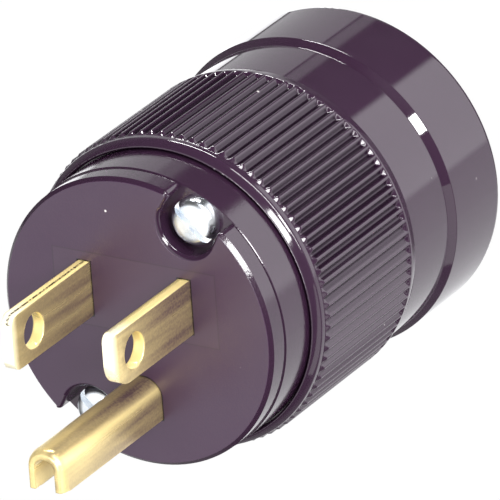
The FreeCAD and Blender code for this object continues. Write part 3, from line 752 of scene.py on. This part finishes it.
def draw_on(builder, loop, stations):
    """Extrude a round open edge through stations of (radius, height)."""
    for radius, height in stations:
        grown = bmesh.ops.extrude_edge_only(builder, edges=loop)["geom"]
        ring = {g for g in grown if isinstance(g, bmesh.types.BMVert)}
        start = next(iter(ring)).co
        widen = radius / start.xy.length
        bmesh.ops.translate(builder, verts=list(ring), vec=(0, 0, height - start.z))
        bmesh.ops.scale(builder, verts=list(ring), vec=(widen, widen, 1))
        loop = [g for g in grown if isinstance(g, bmesh.types.BMEdge) and ring.issuperset(g.verts)]
    return loop


sleeve = one_flute()
bmesh.ops.spin(sleeve, geom=sleeve.verts[:] + sleeve.edges[:] + sleeve.faces[:],
               cent=(0, 0, 0), axis=(0, 0, 1),
               angle=2 * math.pi * (RIBS - 1) / RIBS, steps=RIBS - 1, use_duplicate=True)
bmesh.ops.remove_doubles(sleeve, verts=sleeve.verts, dist=1e-3)
open_edges = [e for e in sleeve.edges if e.is_boundary]
front = [e for e in open_edges if e.verts[0].co.z > 30]
rear = [e for e in open_edges if e.verts[0].co.z < 30]
front = draw_on(sleeve, front, ((18.3, 38.4), (18.3, 38.9), (18.3, 39.03), (17.62, 39.93), (17.47, 39.93),
                                (17.27, 39.5), (17.27, 38.5), (16.2, 38.5), (16.2, 18.8)))
rear = draw_on(sleeve, rear, ((18.65, 19.9), (18.35, 18.8)))
bmesh.ops.bridge_loops(sleeve, edges=front + rear)
bmesh.ops.recalc_face_normals(sleeve, faces=sleeve.faces)
SOFT_RIMS = ((18.3, 39.03, 0.14), (17.62, 39.93, 0.1), (17.47, 39.93, 0.07), (18.65, 19.9, 0.2))
for radius, height, soft in SOFT_RIMS:
    rim = []
    for edge in sleeve.edges:
        if all(abs(v.co.xy.length - radius) < 1e-3 and abs(v.co.z - height) < 1e-3 for v in edge.verts):
            rim.append(edge)
    round_off(sleeve, rim, soft, 2)
finish_piece(sleeve, "grip_sleeve_fluted", grip_black, "ribbed_body")

# %% [markdown]
# The front moulding keeps the shape of its solid, so its mesh is copied and merged. One edge changes: the
# round rim of the face becomes a narrow flat, as the mould leaves it, which catches the key lamp as one broad
# line. A copy loses the solid's own normals, and a polished wall shows every wrong one, so they are carried
# over on the corners and set again at the end; the flat gets normals of its own.

# %% Face block
FACE_R, NOTCH_R, RIM_R = 17.0, 3.4, 0.45
notches = []
for around in (0, math.pi):
    a = math.radians(SCREW_ANGLE) + around
    notches.append((Vector((SCREW_CIRCLE * math.cos(a), SCREW_CIRCLE * math.sin(a))), NOTCH_R, 1, 0.62))
solid = nodes["face_block"].data
block = bmesh.new()
block.from_mesh(solid)
block.faces.index_update()
carried = block.loops.layers.float_vector.new("carried")
for face in block.faces:
    for corner in face.loops:
        corner[carried] = solid.corner_normals[corner.index].vector
bmesh.ops.remove_doubles(block, verts=block.verts, dist=1e-7)
laid = []
for axis, radius, side, share in notches + [(Vector((0, 0)), FACE_R, -1, 1.0)]:
    on_rim = {}
    for v in block.verts:
        out = side * (radius - (v.co.xy / MM - axis).length) + RIM_R
        up = v.co.z / MM - (Z_FACE - RIM_R)
        if out > -1e-3 and up > -1e-3 and abs(math.hypot(out, up) - RIM_R) < 0.02:
            on_rim[v] = math.atan2(up, out) / (math.pi / 2)
    laid.append((axis, radius, side, share, on_rim))
for axis, radius, side, share, on_rim in laid:
    for v, turned in on_rim.items():
        spot = axis + (v.co.xy / MM - axis).normalized() * (radius + side * RIM_R * turned)
        v.co = v.co.lerp(Vector((spot.x, spot.y, Z_FACE - RIM_R + RIM_R * turned)) * MM, share)
for axis, radius, side, share, on_rim in laid:
    for face in block.faces:
        if all(v in on_rim for v in face.verts) and any(0.02 < on_rim[v] < 0.98 for v in face.verts):
            for corner in face.loops:
                out = (corner.vert.co.xy / MM - axis).normalized() * -side
                flat_normal = Vector((out.x, out.y, 1.0)) * math.sqrt(0.5)
                corner[carried] = corner[carried].lerp(flat_normal, share).normalized()
face_mesh = bpy.data.meshes.new("face_block_flat_rim")
block.to_mesh(face_mesh)
block.free()
face_mesh.materials.clear()
face_mesh.materials.append(face_black)
face_mesh.shade_smooth()
face_mesh.normals_split_custom_set([c.vector[:] for c in face_mesh.attributes["carried"].data])
face_mesh.attributes.remove(face_mesh.attributes["carried"])
face_piece = bpy.data.objects.new("face_block_flat_rim", face_mesh)
bpy.context.scene.collection.objects.link(face_piece)
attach(face_piece, "root")
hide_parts("face_block")
print("face block:", len(face_mesh.polygons), "faces,", sum(len(r[-1]) for r in laid), "vertices laid flat")

# %% [markdown]
# The studio is a pale floor under a plain white surround. The lens sees white, soft grey light comes from
# all round, and the gloss of the plastic sees what a photographer builds round a small product: white cards
# with a dark gap between two of them. The cards are a ramp over the compass angle in the world shader, so
# their edges run straight along the round mouldings. The floor is left out of glossy rays for the same end.

# %% Surround
world = bpy.data.worlds.new("studio")
world.use_nodes = True
surround = world.node_tree
back = surround.nodes["Background"]
aim_at = add(surround, "ShaderNodeTexCoord")
parts_of = add(surround, "ShaderNodeSeparateXYZ")
compass = add(surround, "ShaderNodeMath", operation="ARCTAN2")
share = add(surround, "ShaderNodeMapRange")
share.inputs["From Min"].default_value = -math.pi
share.inputs["From Max"].default_value = math.pi
cards = add(surround, "ShaderNodeValToRGB")
card_edges = (
    (-180, 0.30), (-177.5, 0.30), (-176.7, 0.03), (-174.3, 0.03), (-173.5, 0.7), (-142, 0.7), (-138, 0.39),
    (-7, 0.39), (-3, 0.70), (63, 0.70), (67, 0.02), (113, 0.02),
    (116, 0.2), (123.5, 0.2), (124.3, 0.03), (125.5, 0.03), (126.5, 0.30), (180, 0.30),
)
ramp = cards.color_ramp
while len(ramp.elements) < len(card_edges):
    ramp.elements.new(0.5)
for element, (degrees, level) in zip(ramp.elements, card_edges):
    element.position = (degrees + 180) / 360
    element.color = (level, level, level * 1.02, 1)
ring = add(surround, "ShaderNodeValToRGB")
ring_edges = ((-1.0, 0.1), (-0.92, 0.1), (-0.88, 1.0), (-0.62, 1.0), (-0.5, 0.3), (-0.1, 0.2), (0.05, 0.03))
while len(ring.color_ramp.elements) < len(ring_edges):
    ring.color_ramp.elements.new(0.5)
for element, (height, level) in zip(ring.color_ramp.elements, ring_edges):
    element.position = (height + 1) / 2
    element.color = (level, level, level, 1)
height_of = add(surround, "ShaderNodeMapRange")
height_of.inputs["From Min"].default_value = -1
low_light = add(surround, "ShaderNodeMix", data_type="RGBA", blend_type="MULTIPLY")
low_light.inputs["Factor"].default_value = 1.0
brighten = add(surround, "ShaderNodeMix", data_type="RGBA", blend_type="MULTIPLY")
brighten.inputs["Factor"].default_value = 1.0
brighten.inputs["B"].default_value = (2.8, 2.8, 2.8, 1)
overhead = add(surround, "ShaderNodeMapRange", clamp=True, interpolation_type="SMOOTHSTEP")
overhead.inputs["From Min"].default_value = 0.55
overhead.inputs["From Max"].default_value = 0.72
overhead.inputs["To Min"].default_value = 0.05
overhead.inputs["To Max"].default_value = 1.15
glossy_view = add(surround, "ShaderNodeMix", data_type="RGBA", blend_type="ADD")
glossy_view.inputs["Factor"].default_value = 1.0
path = add(surround, "ShaderNodeLightPath")
by_gloss = add(surround, "ShaderNodeMix", data_type="RGBA")
by_gloss.inputs["A"].default_value = (0.5, 0.5, 0.5, 1)
by_lens = add(surround, "ShaderNodeMix", data_type="RGBA")
by_lens.inputs["B"].default_value = (1, 1, 1, 1)
for source, target in (
    (aim_at.outputs["Generated"], parts_of.inputs["Vector"]),
    (parts_of.outputs["Y"], compass.inputs[0]),
    (parts_of.outputs["X"], compass.inputs[1]),
    (compass.outputs["Value"], share.inputs["Value"]),
    (share.outputs["Result"], cards.inputs["Fac"]),
    (parts_of.outputs["Z"], height_of.inputs["Value"]),
    (height_of.outputs["Result"], ring.inputs["Fac"]),
    (cards.outputs["Color"], low_light.inputs["A"]),
    (ring.outputs["Color"], low_light.inputs["B"]),
    (low_light.outputs["Result"], brighten.inputs["A"]),
    (parts_of.outputs["Z"], overhead.inputs["Value"]),
    (brighten.outputs["Result"], glossy_view.inputs["A"]),
    (overhead.outputs["Result"], glossy_view.inputs["B"]),
    (path.outputs["Is Glossy Ray"], by_gloss.inputs["Factor"]),
    (glossy_view.outputs["Result"], by_gloss.inputs["B"]),
    (path.outputs["Is Camera Ray"], by_lens.inputs["Factor"]),
    (by_gloss.outputs["Result"], by_lens.inputs["A"]),
    (by_lens.outputs["Result"], back.inputs["Color"]),
):
    surround.links.new(source, target)
bpy.context.scene.world = world
bpy.context.scene.view_settings.view_transform = "Standard"
print("surround with", len(card_edges), "card edges")

# %% [markdown]
# The floor is white to the lens but still mixes in a little of its own lit surface, which keeps the shadow.

# %% Floor
pale, pale_tree, pale_shader = new_material("pale_floor")
pale_shader.inputs["Base Color"].default_value = (0.92, 0.92, 0.92, 1)
pale_shader.inputs["Roughness"].default_value = 0.7
glow = add(pale_tree, "ShaderNodeEmission")
seen = add(pale_tree, "ShaderNodeLightPath")
weight = add(pale_tree, "ShaderNodeMath", operation="MULTIPLY")
weight.inputs[1].default_value = 0.97
blend = add(pale_tree, "ShaderNodeMixShader")
pale_tree.links.new(seen.outputs["Is Camera Ray"], weight.inputs[0])
pale_tree.links.new(weight.outputs["Value"], blend.inputs["Fac"])
pale_tree.links.new(pale_shader.outputs["BSDF"], blend.inputs[1])
pale_tree.links.new(glow.outputs["Emission"], blend.inputs[2])
floor_out = next(n for n in pale_tree.nodes if n.type == "OUTPUT_MATERIAL")
pale_tree.links.new(blend.outputs["Shader"], floor_out.inputs["Surface"])
floor_mesh = bpy.data.meshes.new("floor")
builder = bmesh.new()
bmesh.ops.create_grid(builder, x_segments=1, y_segments=1, size=3.0)
bmesh.ops.translate(builder, verts=builder.verts, vec=(0, 0, cad_box[0].z - 0.00005))
builder.to_mesh(floor_mesh)
builder.free()
floor = bpy.data.objects.new("floor", floor_mesh)
floor.data.materials.append(pale)
floor.visible_glossy = False
bpy.context.scene.collection.objects.link(floor)
print("floor", floor.dimensions[0], "m wide")

# %% [markdown]
# Six soft lamps give the crisp highlights on the edges. They are placed in the camera's own directions
# (right, up, towards the lens), because a photographer sets them by what the lens sees.

# %% Lamps
turn = camera.rotation_euler.to_matrix()
aim = Vector((0, 0, 0.03))


def soft_lamp(name, direction, long_side, length, width, watts):
    """Area lamp one metre away in a camera direction, with its long side along another."""
    lamp = bpy.data.lights.new(name, "AREA")
    lamp.shape = "RECTANGLE"
    lamp.size = length
    lamp.size_y = width
    lamp.energy = watts
    holder = bpy.data.objects.new(name, lamp)
    away = (turn @ Vector(direction)).normalized()
    along = turn @ Vector(long_side)
    along = (along - away * along.dot(away)).normalized()
    facing = Matrix((along, away.cross(along), away)).transposed().to_4x4()
    holder.matrix_world = Matrix.Translation(aim + away) @ facing
    bpy.context.scene.collection.objects.link(holder)
    return holder


soft_lamp("key", (0.285, 0.125, 0.95), (-0.62, 0.78, 0), 0.34, 0.34, 9.0)
soft_lamp("top", (-0.08, 0.97, -0.05), (1, 0, 0), 0.50, 0.12, 9.0)
soft_lamp("strip", (0.429, 0.496, 0.781), (-0.61, 0.51, -0.21), 1.15, 0.10, 7.0)
soft_lamp("step", (0.503, 0.276, 0.819), (-0.59, 0.81, 0), 0.20, 0.06, 1.3)
soft_lamp("low", (0.701, -0.637, 0.317), (0.373, 0.709, 0.599), 0.975, 0.26, 0.9)
soft_lamp("overhead", (-0.511, -0.382, 0.770), (1, 0, 0), 0.5, 0.5, 8.0)
print("lamps set")
